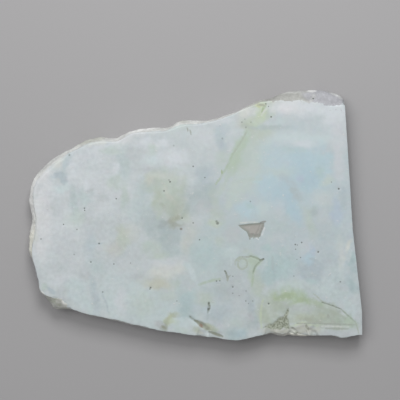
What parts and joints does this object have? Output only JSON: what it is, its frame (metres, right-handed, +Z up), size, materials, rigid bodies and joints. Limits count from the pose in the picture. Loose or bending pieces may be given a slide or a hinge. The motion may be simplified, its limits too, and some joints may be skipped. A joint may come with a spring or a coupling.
{
  "type": "larimar slab",
  "caption": "Flat sawn slab of pale blue larimar with a broken natural rim, one straight trimmed end and a small grey crystal in its face.",
  "frame": {"origin": "middle of the slab's bounding box, on the surface that its sawn back lies on", "axes": "+X along the length to the trimmed end, +Y to the side with the broad sloping shoulder, +Z up out of the sawn face"},
  "size_m": [0.0868, 0.0654, 0.006],
  "materials": {
    "larimar": "satin"
  },
  "bodies": {
    "root": {"larimar_slab": "larimar"}
  },
  "joints": []
}
